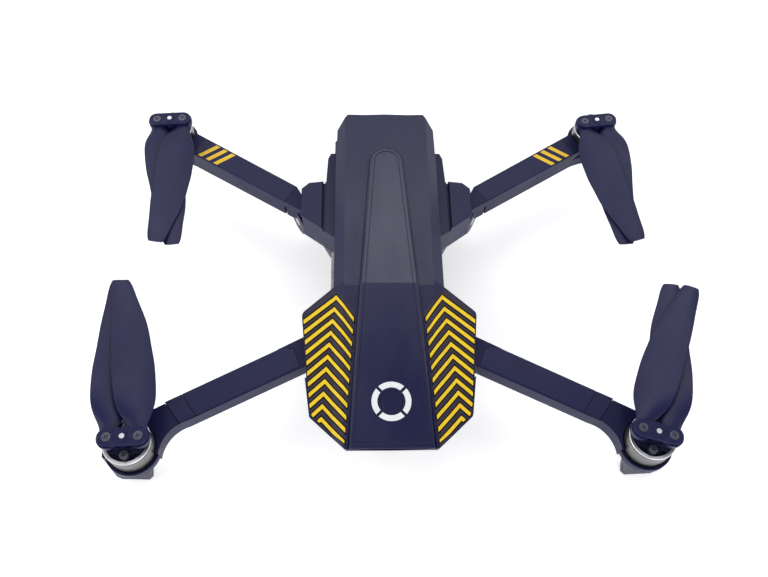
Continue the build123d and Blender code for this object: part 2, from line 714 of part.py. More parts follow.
def front_arm(side, place):
    """Front arm: a beam from the hinge disc to the motor cup, and its top cover."""
    low, high = FRONT_ARM_Z
    with BuildPart() as shell:
        with BuildSketch(Plane.XY.offset(low)):
            with BuildLine():
                Polyline(*flip(side, FRONT_BEAM))
                start, middle, finish = flip(side, FRONT_BLEND)
                ThreePointArc(finish, middle, start)
                Line(start, flip(side, FRONT_BEAM)[0])
            make_face()
            with Locations(*flip(side, [FRONT_HINGE])):
                Circle(HINGE_R)
        extrude(amount=high - low)
        add(motor_cup(side, front_motor, low, FRONT_CUP_TOP))
        with BuildSketch(Plane.XY.offset(low + CUP_FLOOR)):
            with Locations(*flip(side, [front_motor])):
                Circle(CUP_BORE_R)
        extrude(amount=20, mode=Mode.SUBTRACT)
        # Seat for the cover, wire channel under it, grooves across the side walls.
        with BuildSketch(Plane.XY.offset(high - COVER_THICK)):
            Polygon(*flip(side, FRONT_COVER), align=None)
            offset(amount=GAP, kind=Kind.INTERSECTION)
        extrude(amount=5, mode=Mode.SUBTRACT)
        with BuildSketch(Plane.XY.offset(low + CUP_FLOOR)):
            channel(side, FRONT_MID, FRONT_DIR, -38.0, 12.0)
        extrude(amount=high - low - CUP_FLOOR - WIRE_ROOF, mode=Mode.SUBTRACT)
        with BuildSketch(Plane.XY.offset(high - 0.5)):
            seam_cut(side, *SEAMS[1])
        extrude(amount=3, mode=Mode.SUBTRACT)
        with BuildSketch(Plane.XY.offset(low - 1)):
            with Locations(*flip(side, [FRONT_HINGE])):
                Circle(PIN_R + PIN_FIT)
        extrude(amount=20, mode=Mode.SUBTRACT)
    keep(shell, f"arm_shell_front_{place}")

    with BuildPart() as cover:
        with BuildSketch(Plane.XY.offset(high - COVER_THICK + 0.05)):
            Polygon(*flip(side, FRONT_COVER), align=None)
        extrude(amount=COVER_THICK - 0.05)
        with BuildSketch(Plane.XY.offset(high - 0.5)):
            seam_cut(side, *SEAMS[0])
        extrude(amount=3, mode=Mode.SUBTRACT)
    keep(cover, f"arm_cover_front_{place}")


# Landing foot under a front motor: a faceted wedge, given as (X, Y) at the cup and
# at the ground, for the right-hand side.
FOOT_TOP = [
    (96.2, -71.0),
    (93.2, -77.6),
    (93.6, -83.7),
    (101.2, -84.8),
    (113.0, -79.4),
    (113.2, -77.0),
    (107.0, -71.2),
]
FOOT_BASE = [
    (100.2, -75.6),
    (99.6, -79.1),
    (101.1, -80.7),
    (112.5, -80.3),
    (115.0, -79.2),
    (118.4, -74.2),
    (115.4, -72.8),
]


def front_foot(side, place):
    """A foot that spreads outward from under the motor cup."""
    with BuildPart() as foot:
        with BuildSketch(Plane.XY):
            Polygon(*flip(side, FOOT_BASE), align=None)
        with BuildSketch(Plane.XY.offset(FRONT_ARM_Z[0] - 0.05)):
            Polygon(*flip(side, FOOT_TOP), align=None)
        loft(ruled=True)
    keep(foot, f"front_foot_{place}")


rear_motor = (REAR_MOTOR_X, MOTOR_Y)
REAR_LENGTH = hypot(*rear_reach)
STRIPE_HALF = 4.5
STRIPE_PITCH = 4.45
STRIPE_LEAN = 2.1  # each stripe leans this far at either end
STRIPE_WIDTH = 2.1


def rear_outline(side, grow, first, last):
    """Plan of a rear arm, a little wider at the motor than at the hinge."""
    root, tip = REAR_ARM_HALF
    corners = [
        beside(REAR_HINGE, rear_out, first, -root - grow),
        beside(REAR_HINGE, rear_out, first, root + grow),
        beside(REAR_HINGE, rear_out, last, tip + grow),
        beside(REAR_HINGE, rear_out, last, -tip - grow),
    ]
    Polygon(*flip(side, corners), align=None)


def rear_arm(side, place):
    """Rear arm: hinge knuckle, beam and motor cup, with its top cover."""
    low, high = REAR_ARM_Z
    with BuildPart() as shell:
        with BuildSketch(Plane.XY.offset(low)):
            rear_outline(side, 0, -1.0, REAR_LENGTH)
        extrude(amount=high - low)
        with BuildSketch(rear_hinge_plane(side, 0.1)):
            Circle(KNUCKLE_R)
        extrude(amount=5.6)
        add(motor_cup(side, rear_motor, *REAR_CUP_Z))
        # A hollow flare where the beam meets the cup.
        with BuildSketch(Plane.XY.offset(low)):
            for hand in (-1, 1):
                start = beside(REAR_HINGE, rear_out, REAR_LENGTH - 19, hand * 5.2)
                middle = beside(REAR_HINGE, rear_out, REAR_LENGTH - 11.5, hand * 5.9)
                finish = beside(REAR_HINGE, rear_out, REAR_LENGTH - 5.2, hand * 8.2)
                inner = beside(REAR_HINGE, rear_out, REAR_LENGTH - 5.2, 0)
                back = beside(REAR_HINGE, rear_out, REAR_LENGTH - 19, 0)
                a, b, c, d, e = flip(side, [start, middle, finish, inner, back])
                with BuildLine():
                    ThreePointArc(a, b, c)
                    Polyline(c, d, e, a)
                make_face()
        extrude(amount=REAR_CUP_Z[1] - low)
        with BuildSketch(Plane.XY.offset(REAR_CUP_Z[0] + CUP_FLOOR)):
            with Locations(*flip(side, [rear_motor])):
                Circle(CUP_BORE_R)
        extrude(amount=20, mode=Mode.SUBTRACT)
        with BuildSketch(Plane.XY.offset(high - COVER_THICK)):
            rear_outline(side, -0.3, 9.4, REAR_LENGTH - 14.4)
        extrude(amount=5, mode=Mode.SUBTRACT)
        with BuildSketch(Plane.XY.offset(low + CUP_FLOOR)):
            channel(side, REAR_HINGE, rear_out, 12.0, REAR_LENGTH - 16.0)
        extrude(amount=high - low - CUP_FLOOR - WIRE_ROOF, mode=Mode.SUBTRACT)
        # Notch for the hinge's detent, on the front wall near the root.
        with BuildSketch(Plane.XY.offset(low - 1)):
            notch = [
                beside(REAR_HINGE, rear_out, 9.0, -7.0),
                beside(REAR_HINGE, rear_out, 10.2, -7.0),
                beside(REAR_HINGE, rear_out, 9.4, -4.1),
                beside(REAR_HINGE, rear_out, 8.4, -4.1),
            ]
            Polygon(*flip(side, notch), align=None)
        extrude(amount=7.4, mode=Mode.SUBTRACT)
        # The joint face: the whole arm stays outboard of it, so the arm can turn over.
        with BuildSketch(rear_hinge_plane(side, 0.1)):
            Rectangle(80, 80)
        extrude(amount=-30, mode=Mode.SUBTRACT)
        with BuildSketch(rear_hinge_plane(side, -1)):
            Circle(PIN_R + PIN_FIT)
        extrude(amount=12, mode=Mode.SUBTRACT)
    keep(shell, f"arm_shell_rear_{place}")

    with BuildPart() as cover:
        with BuildSketch(Plane.XY.offset(high - COVER_THICK + 0.05)):
            rear_outline(side, -0.38, 9.5, REAR_LENGTH - 14.5)
        extrude(amount=COVER_THICK - 0.05)
    keep(cover, f"arm_cover_rear_{place}")

    with BuildPart() as stripes:
        with BuildSketch(Plane.XY.offset(high)):
            for n in range(3):
                along = REAR_LENGTH - 20.7 - STRIPE_PITCH * n
                corners = [
                    beside(REAR_HINGE, rear_out, along - STRIPE_LEAN - STRIPE_WIDTH / 2, STRIPE_HALF),
                    beside(REAR_HINGE, rear_out, along - STRIPE_LEAN + STRIPE_WIDTH / 2, STRIPE_HALF),
                    beside(REAR_HINGE, rear_out, along + STRIPE_LEAN + STRIPE_WIDTH / 2, -STRIPE_HALF),
                    beside(REAR_HINGE, rear_out, along + STRIPE_LEAN - STRIPE_WIDTH / 2, -STRIPE_HALF),
                ]
                Polygon(*flip(side, corners), align=None)
        extrude(amount=0.12)
    keep(stripes, f"arm_stripes_rear_{place}")


for side, place in ((-1, "left"), (1, "right")):
    front_arm(side, place)
    front_foot(side, place)
    rear_arm(side, place)

# ---- decals on the shoulders ----------------------------------------------------
CHEVRONS = 11
CHEVRON_PITCH = 5.04
CHEVRON_APEX = (22.0, -16.2)  # first apex, nearest the tail
CHEVRON_THICK = 1.9  # thickness of a bar, measured fore and aft
CHEVRON_REACH = 15.0  # the bars are drawn long and then cut to the decal
DECAL_THICK = 0.12
DECAL_MARGIN = 1.5


def chevron(side, row):
    """One V-shaped bar pointing to the tail. Row by row the apex moves outward, the
    outer arm gets steeper and the inner arm gets flatter."""
    apex_x = CHEVRON_APEX[0] + 0.75 * row - 0.02 * row**2
    apex_y = CHEVRON_APEX[1] - CHEVRON_PITCH * row
    outer_y = apex_y - CHEVRON_REACH * (0.76 + 0.015 * row)
    inner_y = apex_y - CHEVRON_REACH * (1.40 - 0.031 * row)
    points = [
        (apex_x, apex_y),
        (apex_x + CHEVRON_REACH, outer_y),
        (apex_x + CHEVRON_REACH, outer_y - CHEVRON_THICK),
        (apex_x, apex_y - CHEVRON_THICK),
        (apex_x - CHEVRON_REACH, inner_y - CHEVRON_THICK),
        (apex_x - CHEVRON_REACH, inner_y),
    ]
    Polygon(*flip(side, points), align=None)


def spine_edge(y, gap):
    """Half width of the spine cover at a given Y, plus a gap."""
    taper = (SPINE_NOSE_HALF - SPINE_TAIL_HALF) / (SPINE_ARCH_Y - BODY_NOSE_Y - 0.5)
    return SPINE_NOSE_HALF - (y - BODY_NOSE_Y - 0.5) * taper + gap


decal_inner = [(spine_edge(y, DECAL_MARGIN), y) for y in (-77.6, -14.0)]
decal_plan = [*decal_inner, (22.0, -12.5), (35.6, -24.0), (32.2, -62.0), (31.2, -66.2)]
for side, place in ((-1, "left"), (1, "right")):
    with BuildPart() as chevrons:
        with BuildSketch(Plane.XY):
            for row in range(CHEVRONS):
                chevron(side, row)
        extrude(amount=60)
        with BuildSketch(Plane.XY):
            Polygon(*flip(side, decal_plan), align=None)
        extrude(amount=60, mode=Mode.INTERSECT)
        add(deck(roof_section(-DECAL_THICK), DECK_SLOPE), mode=Mode.INTERSECT)
        add(deck(roof_section(0), DECK_SLOPE), mode=Mode.SUBTRACT)
    keep(chevrons, f"chevrons_{place}")

# ---- motors and propellers -------------------------------------------------------
STATOR_TEETH = 9
WEB_DROP = 0.65  # the mount plate reaches down this far, to the bell's web
MOUNT_Z = (-1.2, 0.8)  # all heights of the rotor are from the bell's rim
BAR_Z = (0.8, 2.6)
BLADE_MID_Z = 3.85
BLADE_ROOT_HALF = 1.15
CLAMP_Z = (5.05, 6.5)
SCREW_REACH = 5.6  # mount screws from the motor axis


def motor_stator(name, centre, floor_z, rim_z):
    """Base plate, bearing tube and wound teeth of an outrunner motor."""
    with BuildPart() as stator:
        with BuildSketch(Plane.XY.offset(floor_z)):
            with Locations(centre):
                Circle(CUP_BORE_R - 0.1)
        extrude(amount=1.0)
        with BuildSketch(Plane.XY.offset(floor_z + 1.0)):
            with Locations(centre):
                Circle(3.0)
        extrude(amount=rim_z - 4.2 - floor_z - 1.0)
        with BuildSketch(Plane.XY.offset(rim_z - 10.6)):
            with Locations(centre):
                Circle(4.4)
                with PolarLocations(0, STATOR_TEETH):
                    with Locations((5.4, 0)):
                        Rectangle(2.6, 1.9)
                    with Locations((7.0, 0)):
                        Rectangle(0.9, 3.9)
        extrude(amount=5.4)
        with BuildSketch(Plane.XY.offset(floor_z - 1)):
            with Locations(centre):
                Circle(SHAFT_R + 0.05)
        extrude(amount=30, mode=Mode.SUBTRACT)
    keep(stator, name)


def motor_bell(name, centre, rim_z):
    """Turned bell with its shaft, open windows and a raised outer rim."""
    with BuildPart() as bell:
        with BuildSketch(Plane.XY.offset(rim_z - BELL_HEIGHT)):
            with Locations(centre):
                Circle(BELL_R)
        extrude(amount=BELL_HEIGHT)
        with BuildSketch(Plane.XY.offset(rim_z - BELL_HEIGHT - 1)):
            with Locations(centre):
                Circle(BELL_R - BELL_WALL)
        extrude(amount=BELL_HEIGHT + 1 - 3.4, mode=Mode.SUBTRACT)
        with BuildSketch(Plane.XY.offset(rim_z - 1.9)):
            with Locations(centre):
                Circle(BELL_R - 1.6)
        extrude(amount=3, mode=Mode.SUBTRACT)
        with BuildSketch(Plane.XY.offset(rim_z - 4)):
            with Locations(centre):
                with PolarLocations(5.6, 6, start_angle=30):
                    Circle(1.7)
        extrude(amount=3, mode=Mode.SUBTRACT)
        chamfer(edges().filter_by(GeomType.CIRCLE).group_by(Axis.Z)[-1], 0.25)
        with BuildSketch(Plane.XY.offset(rim_z - BELL_HEIGHT - 1)):
            with Locations(centre):
                Circle(SHAFT_R)
        extrude(amount=BELL_HEIGHT + 1 + CLAMP_Z[1] + 0.35)
    keep(bell, name)


def prop_mount(name, centre, angle, rim_z):
    """Lobed plate screwed to the bell, with the lower clamp bar on it."""
    low_z = rim_z + MOUNT_Z[0] - WEB_DROP
    bar_z = BAR_Z[0] - MOUNT_Z[0] + WEB_DROP
    turn = Plane(origin=(*centre, low_z), x_dir=(cos(radians(angle)), sin(radians(angle)), 0))
    with BuildPart() as mount:
        with BuildSketch(turn):
            Circle(6.0)
            with Locations((0, SCREW_REACH), (0, -SCREW_REACH)):
                Circle(1.95)
            with Locations((4.6, 3.2), (4.6, -3.2), (-4.6, 3.2), (-4.6, -3.2)):
                Circle(1.7)
        extrude(amount=MOUNT_Z[1] - MOUNT_Z[0] + WEB_DROP)
        with BuildSketch(turn.offset(bar_z)):
            SlotOverall(2 * (BLADE_PIVOT + CLAMP_HALF_WIDTH), 2 * CLAMP_HALF_WIDTH)
        extrude(amount=BAR_Z[1] - BAR_Z[0])
        with BuildSketch(turn.offset(-1)):
            Circle(SHAFT_R + 0.05)
            with Locations((0, SCREW_REACH), (0, -SCREW_REACH)):
                Circle(0.85)
        extrude(amount=8, mode=Mode.SUBTRACT)
        with BuildSketch(turn.offset(bar_z - 0.45)):
            with Locations((BLADE_PIVOT, 0), (-BLADE_PIVOT, 0)):
                Circle(1.02)
        extrude(amount=8, mode=Mode.SUBTRACT)
    keep(mount, name)


def prop_clamp(name, centre, angle, rim_z):
    """Upper clamp bar over the blade roots, with a boss round the shaft."""
    turn = Plane(origin=(*centre, rim_z + CLAMP_Z[0]), x_dir=(cos(radians(angle)), sin(radians(angle)), 0))
    with BuildPart() as clamp:
        with BuildSketch(turn):
            SlotOverall(2 * (BLADE_PIVOT + CLAMP_HALF_WIDTH) + 0.4, 2 * CLAMP_HALF_WIDTH)
        extrude(amount=CLAMP_Z[1] - CLAMP_Z[0])
        chamfer(edges().group_by(Axis.Z)[-1], 0.25)
        with BuildSketch(turn.offset(BAR_Z[1] - CLAMP_Z[0] + 0.05)):
            RectangleRounded(2.7, 6.0, 0.6)
        extrude(amount=CLAMP_Z[0] - BAR_Z[1] - 0.05)
        with BuildSketch(turn.offset(CLAMP_Z[1] - CLAMP_Z[0])):
            RectangleRounded(3.3, 4.4, 0.5)
        extrude(amount=0.25)
        with BuildSketch(turn.offset(-5)):
            Circle(SHAFT_R + 0.05)
            with Locations((BLADE_PIVOT, 0), (-BLADE_PIVOT, 0)):
                Circle(1.02)
        extrude(amount=12, mode=Mode.SUBTRACT)
        with BuildSketch(turn.offset(0.75)):
            with Locations((BLADE_PIVOT, 0), (-BLADE_PIVOT, 0)):
                Circle(1.85)
        extrude(amount=4, mode=Mode.SUBTRACT)
    keep(clamp, name)


def prop_screws(name, centre, angle, rim_z):
    """Two mount screws and two blade pivot screws, all cross-headed."""
    turn = Plane(origin=(*centre, rim_z), x_dir=(cos(radians(angle)), sin(radians(angle)), 0))
    with BuildPart() as screws:
        with BuildSketch(turn.offset(MOUNT_Z[1])):
            with Locations((0, SCREW_REACH), (0, -SCREW_REACH)):
                Circle(1.75)
        extrude(amount=1.1)
        with BuildSketch(turn.offset(MOUNT_Z[1] - 2.6)):
            with Locations((0, SCREW_REACH), (0, -SCREW_REACH)):
                Circle(0.8)
        extrude(amount=2.6)
        with BuildSketch(turn.offset(CLAMP_Z[0] + 0.75)):
            with Locations((BLADE_PIVOT, 0), (-BLADE_PIVOT, 0)):
                Circle(1.75)
        extrude(amount=0.75)
        with BuildSketch(turn.offset(BAR_Z[0] + 0.3)):
            with Locations((BLADE_PIVOT, 0), (-BLADE_PIVOT, 0)):
                Circle(1.0)
        extrude(amount=CLAMP_Z[0] + 0.75 - BAR_Z[0] - 0.3)
        for height, spots in (
            (MOUNT_Z[1] + 0.6, ((0, SCREW_REACH), (0, -SCREW_REACH))),
            (CLAMP_Z[0] + 1.05, ((BLADE_PIVOT, 0), (-BLADE_PIVOT, 0))),
        ):
            with BuildSketch(turn.offset(height)):
                with Locations(*spots):
                    RectangleRounded(1.9, 0.45, 0.15, rotation=35)
                    RectangleRounded(0.45, 1.9, 0.15, rotation=35)
            extrude(amount=2, mode=Mode.SUBTRACT)
    keep(screws, name)


# Along the blade: distance from the pivot, half chord, sweep of the middle towards the
# trailing edge, pitch in degrees, thickness.
BLADE_STATIONS = [
    (2.4, 3.3, 0.0, 2.0, 1.7),
    (6.0, 4.1, 0.0, 8.0, 1.75),
    (10.0, 6.0, 0.0, 15.0, 1.8),
    (15.0, 7.5, 0.1, 19.0, 1.7),
    (22.0, 8.1, 0.3, 18.5, 1.5),
    (32.0, 8.0, 0.65, 16.0, 1.35),
    (43.0, 7.3, 0.85, 13.5, 1.2),
    (54.0, 5.8, 0.5, 11.5, 1.1),
    (62.0, 4.5, 0.05, 10.0, 1.0),
    (65.6, 3.7, -0.1, 9.4, 0.9),
    (BLADE_LENGTH, 2.9, -0.2, 9.0, 0.8),
]


def blade(name, pivot, mid_z, heading, hand, lift):
    """One folding blade. hand is 1 where the left edge, looking outward, leads and is
    high, and -1 where the right edge is. lift raises the tip, so that folded pairs nest."""
    along = (cos(radians(heading)), sin(radians(heading)), 0)
    left = (-along[1], along[0], 0)
    with BuildPart() as piece:
        for reach, half, sweep, pitch, thick in BLADE_STATIONS:
            rise = lift * (reach / BLADE_LENGTH) ** 1.2
            origin = (pivot[0] + along[0] * reach, pivot[1] + along[1] * reach, mid_z + rise)
            tilt = radians(pitch) * hand
            chord = (left[0] * cos(tilt), left[1] * cos(tilt), sin(tilt))
            with BuildSketch(Plane(origin=origin, x_dir=chord, z_dir=along)):
                middle = -hand * sweep
                with BuildLine():
                    ThreePointArc((middle - half, 0), (middle, thick * 0.62), (middle + half, 0))
                    ThreePointArc((middle + half, 0), (middle, -thick * 0.38), (middle - half, 0))
                make_face()
        loft()
        with BuildSketch(Plane.XY.offset(mid_z - BLADE_ROOT_HALF)):
            with Locations(pivot):
                Circle(4.1)
        extrude(amount=2 * BLADE_ROOT_HALF)
        with BuildSketch(Plane.XY.offset(mid_z - 5)):
            with Locations(pivot):
                Circle(BLADE_HOLE_R)
        extrude(amount=10, mode=Mode.SUBTRACT)
    keep(piece, name)


# Name, X side, Y side, hub angle, spin hand, then pivot side, heading and lift of the
# upper (a) and the lower (b) blade as they lie folded.
ROTORS = [
    ("front_left", -1, -1, 2.5, 1, (1, 103.0, 1.2), (-1, 93.9, -0.6)),
    ("front_right", 1, -1, -15.9, -1, (-1, 63.2, 2.0), (1, 79.5, -1.3)),
    ("rear_left", -1, 1, 3.5, -1, (1, 266.0, 1.9), (-1, 281.4, -1.2)),
    ("rear_right", 1, 1, 7.1, 1, (-1, 282.3, 1.9), (1, 268.7, -1.2)),
]
for place, x_side, y_side, angle, hand, upper, lower in ROTORS:
    motor_x = FRONT_MOTOR_X if y_side < 0 else REAR_MOTOR_X
    centre = (x_side * motor_x, y_side * MOTOR_Y)
    rim_z = FRONT_RIM_Z if y_side < 0 else REAR_RIM_Z
    floor_z = (FRONT_ARM_Z[0] if y_side < 0 else REAR_CUP_Z[0]) + CUP_FLOOR + 0.05
    motor_stator(f"motor_stator_{place}", centre, floor_z, rim_z)
    motor_bell(f"motor_bell_{place}", centre, rim_z)
    prop_mount(f"prop_mount_{place}", centre, angle, rim_z)
    prop_clamp(f"prop_clamp_{place}", centre, angle, rim_z)
    prop_screws(f"prop_screws_{place}", centre, angle, rim_z)
    for letter, (pivot_side, heading, lift) in (("a", upper), ("b", lower)):
        pivot = beside(centre, (cos(radians(angle)), sin(radians(angle))), pivot_side * BLADE_PIVOT, 0)
        blade(f"blade_{place}_{letter}", pivot, rim_z + BLADE_MID_Z, heading, hand, lift)
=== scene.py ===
import json
import math

import bmesh
import bpy
from mathutils import Matrix, Vector


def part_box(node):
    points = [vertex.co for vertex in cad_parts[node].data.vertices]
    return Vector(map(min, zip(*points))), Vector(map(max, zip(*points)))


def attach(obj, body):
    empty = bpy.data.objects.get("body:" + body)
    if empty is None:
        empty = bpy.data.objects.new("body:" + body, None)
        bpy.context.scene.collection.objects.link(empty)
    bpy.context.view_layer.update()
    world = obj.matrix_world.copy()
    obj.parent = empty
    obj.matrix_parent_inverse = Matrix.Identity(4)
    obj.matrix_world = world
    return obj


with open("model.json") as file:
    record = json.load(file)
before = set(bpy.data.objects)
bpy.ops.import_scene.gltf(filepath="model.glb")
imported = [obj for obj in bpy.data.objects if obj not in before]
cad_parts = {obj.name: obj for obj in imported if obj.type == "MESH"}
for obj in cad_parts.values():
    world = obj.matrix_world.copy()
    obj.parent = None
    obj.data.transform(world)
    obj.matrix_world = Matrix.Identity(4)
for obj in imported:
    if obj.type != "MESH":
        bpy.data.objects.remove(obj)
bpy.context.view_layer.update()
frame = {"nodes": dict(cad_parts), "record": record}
nodes = frame["nodes"]
MM = 0.001

# ---- node helpers ---------------------------------------------------------------


def start_material(name):
    """A fresh material with one Principled shader; returns it, its tree and the shader."""
    material = bpy.data.materials.new(name)
    material.use_nodes = True
    tree = material.node_tree
    tree.nodes.clear()
    output = tree.nodes.new("ShaderNodeOutputMaterial")
    shader = tree.nodes.new("ShaderNodeBsdfPrincipled")
    tree.links.new(shader.outputs["BSDF"], output.inputs["Surface"])
    return material, tree, shader


def object_coords(tree, stretch=(1, 1, 1)):
    """Object coordinates, stretched for brushed or drawn surfaces."""
    coords = tree.nodes.new("ShaderNodeTexCoord")
    mapping = tree.nodes.new("ShaderNodeMapping")
    mapping.inputs["Scale"].default_value = stretch
    tree.links.new(coords.outputs["Object"], mapping.inputs["Vector"])
    return mapping.outputs["Vector"]


def noise(tree, vector, size, detail=3.0, roughness=0.55):
    """Noise whose features are about size metres across."""
    node = tree.nodes.new("ShaderNodeTexNoise")
    node.inputs["Scale"].default_value = 1 / size
    node.inputs["Detail"].default_value = detail
    node.inputs["Roughness"].default_value = roughness
    tree.links.new(vector, node.inputs["Vector"])
    return node.outputs["Fac"]


def cells(tree, vector, size):
    """Distance to the nearest cell centre, for a pebbled moulding grain."""
    node = tree.nodes.new("ShaderNodeTexVoronoi")
    node.inputs["Scale"].default_value = 1 / size
    tree.links.new(vector, node.inputs["Vector"])
    return node.outputs["Distance"]


def remap(tree, value, low, high, first, last):
    """Value between low and high, carried to first and last."""
    node = tree.nodes.new("ShaderNodeMapRange")
    node.inputs["From Min"].default_value = low
    node.inputs["From Max"].default_value = high
    node.inputs["To Min"].default_value = first
    node.inputs["To Max"].default_value = last
    tree.links.new(value, node.inputs["Value"])
    return node.outputs["Result"]


def maths(tree, operation, a, b):
    """One Math node; b may be a number."""
    node = tree.nodes.new("ShaderNodeMath")
    node.operation = operation
    tree.links.new(a, node.inputs[0])
    if isinstance(b, (int, float)):
        node.inputs[1].default_value = b
    else:
        tree.links.new(b, node.inputs[1])
    return node.outputs[0]


def blend_colours(tree, factor, a, b):
    """Mix of two colours, each a colour or a socket, by factor."""
    node = tree.nodes.new("ShaderNodeMix")
    node.data_type = "RGBA"
    tree.links.new(factor, node.inputs["Factor"])
    for socket, colour in ((node.inputs[6], a), (node.inputs[7], b)):
        if isinstance(colour, tuple):
            socket.default_value = (*colour, 1)
        else:
            tree.links.new(colour, socket)
    return node.outputs[2]


def bump(tree, height, depth, strength=1.0, normal=None):
    """Bump of so many metres."""
    node = tree.nodes.new("ShaderNodeBump")
    node.inputs["Strength"].default_value = strength
    node.inputs["Distance"].default_value = depth
    tree.links.new(height, node.inputs["Height"])
    if normal:
        tree.links.new(normal, node.inputs["Normal"])
    return node.outputs["Normal"]


def tint(colour, factor, lift=0.0):
    """A colour made lighter or darker, and lifted by a little grey."""
    return tuple(min(1, c * factor + lift) for c in colour)


def soft_edges(tree, radius):
    """The normal of edges rounded by radius, and a mask that is 1 on those edges."""
    rounded = tree.nodes.new("ShaderNodeBevel")
    rounded.samples = 4
    rounded.inputs["Radius"].default_value = radius
    geometry = tree.nodes.new("ShaderNodeNewGeometry")
    dot = tree.nodes.new("ShaderNodeVectorMath")
    dot.operation = "DOT_PRODUCT"
    tree.links.new(rounded.outputs["Normal"], dot.inputs[0])
    tree.links.new(geometry.outputs["Normal"], dot.inputs[1])
    mask = remap(tree, dot.outputs["Value"], 0.995, 0.90, 0.0, 1.0)
    return rounded.outputs["Normal"], mask


def moulded(name, colour, roughness=0.46, grain_size=0.9 * MM, depth=0.02 * MM, shine=0.5):
    """Moulded plastic: pebbled grain, faint mottling, handled smudges, rubbed edges."""
    material, tree, shader = start_material(name)
    vector = object_coords(tree)
    pale = tint(colour, 1.22, 0.003)
    deep = tint(colour, 0.84)
    mottle = remap(tree, noise(tree, vector, 11 * MM, 5), 0.35, 0.65, 0, 1)
    speck = remap(tree, noise(tree, vector, 0.7 * MM, 2), 0.42, 0.70, 0, 1)
    smear = noise(tree, object_coords(tree, (1, 0.35, 1)), 22 * MM, 4, 0.6)
    normal, rubbed = soft_edges(tree, 0.30 * MM)
    base = blend_colours(tree, mottle, deep, colour)
    base = blend_colours(tree, maths(tree, "MULTIPLY", speck, 0.45), base, pale)
    worn = tint(colour, 1.7, 0.012)
    base = blend_colours(tree, maths(tree, "MULTIPLY", rubbed, 0.35), base, worn)
    tree.links.new(base, shader.inputs["Base Color"])
    rough = remap(tree, smear, 0.3, 0.7, roughness - 0.06, roughness + 0.08)
    rough = maths(tree, "ADD", rough, remap(tree, speck, 0, 1, 0.0, -0.05))
    tree.links.new(rough, shader.inputs["Roughness"])
    pebbles = cells(tree, vector, grain_size)
    fine = noise(tree, vector, grain_size * 0.6, 2)
    height = maths(tree, "ADD", pebbles, fine)
    tree.links.new(bump(tree, height, depth, 0.5, normal), shader.inputs["Normal"])
    shader.inputs["IOR"].default_value = 1.47
    shader.inputs["Specular IOR Level"].default_value = shine
    return material


def gloss(name, colour, roughness=0.22, shine=0.5):
    """Half-gloss plastic with fine scratches and dust in its roughness."""
    material, tree, shader = start_material(name)
    vector = object_coords(tree)
    normal, rubbed = soft_edges(tree, 0.2 * MM)
    dust = remap(tree, noise(tree, vector, 2.4 * MM, 6, 0.65), 0.45, 0.75, 0, 1)
    pale = tint(colour, 1.6, 0.02)
    base = blend_colours(tree, maths(tree, "MULTIPLY", dust, 0.35), colour, pale)
    base = blend_colours(tree, maths(tree, "MULTIPLY", rubbed, 0.4), base, pale)
    tree.links.new(base, shader.inputs["Base Color"])
    rough = remap(tree, dust, 0, 1, roughness, roughness + 0.14)
    tree.links.new(rough, shader.inputs["Roughness"])
    wave = noise(tree, object_coords(tree, (1, 1, 0.2)), 1.2 * MM, 3)
    tree.links.new(bump(tree, wave, 0.006 * MM, 0.6, normal), shader.inputs["Normal"])
    shader.inputs["IOR"].default_value = 1.49
    shader.inputs["Specular IOR Level"].default_value = shine
    return material


def metal(name, colour, roughness=0.28, turned=True, stained=0.5, wall_painted_shade=1.0):
    """Turned or drawn metal: fine lathe rings, tarnish and bright edges.

    A last argument under 1 paints shade on the upright walls: they are made that much darker than the
    level faces.
    """
    material, tree, shader = start_material(name)
    stretch = (0.1, 0.1, 6.0) if turned else (1, 1, 1)
    rings = noise(tree, object_coords(tree, stretch), 0.4 * MM, 2)
    stain = remap(tree, noise(tree, object_coords(tree), 3.0 * MM, 5), 0.4, 0.7, 0, 1)
    normal, rubbed = soft_edges(tree, 0.12 * MM)
    dull = tint(colour, 0.55)
    base = blend_colours(tree, maths(tree, "MULTIPLY", stain, stained), colour, dull)
    base = blend_colours(tree, maths(tree, "MULTIPLY", rubbed, 0.6), base, tint(colour, 1.3))
    # Painted shade: by the object-space normal, upright walls get a darker colour than the level
    # faces.
    if wall_painted_shade < 1:
        facing = tree.nodes.new("ShaderNodeTexCoord")
        axes = tree.nodes.new("ShaderNodeSeparateXYZ")
        tree.links.new(facing.outputs["Normal"], axes.inputs["Vector"])
        level = remap(tree, axes.outputs["Z"], 0.25, 0.65, 0, 1)
        wall = blend_colours(tree, stain, tint(colour, wall_painted_shade), tint(colour, wall_painted_shade * 0.85))
        base = blend_colours(tree, level, wall, base)
    tree.links.new(base, shader.inputs["Base Color"])
    shader.inputs["Metallic"].default_value = 1.0
    rough = remap(tree, rings, 0.3, 0.7, roughness - 0.06, roughness + 0.1)
    tree.links.new(rough, shader.inputs["Roughness"])
    tree.links.new(bump(tree, rings, 0.01 * MM, 0.7, normal), shader.inputs["Normal"])
    return material


def printed(name, colour, roughness=0.4, shine=0.5):
    """Screen-printed ink: slightly uneven cover and pin-holes."""
    material, tree, shader = start_material(name)
    vector = object_coords(tree)
    cover = remap(tree, noise(tree, vector, 1.6 * MM, 5), 0.3, 0.7, 0, 1)
    holes = remap(tree, noise(tree, vector, 0.35 * MM, 2), 0.70, 0.78, 0, 1)
    deep = (colour[0] * 0.92, colour[1] * 0.80, colour[2] * 0.7)
    base = blend_colours(tree, cover, colour, deep)
    base = blend_colours(tree, maths(tree, "MULTIPLY", holes, 0.6), base, tint(colour, 0.45))
    tree.links.new(base, shader.inputs["Base Color"])
    rough = remap(tree, cover, 0, 1, roughness - 0.05, roughness + 0.1)
    tree.links.new(rough, shader.inputs["Roughness"])
    height = noise(tree, vector, 0.5 * MM, 3)
    tree.links.new(bump(tree, height, 0.01 * MM, 0.6), shader.inputs["Normal"])
    shader.inputs["Specular IOR Level"].default_value = shine
    return material


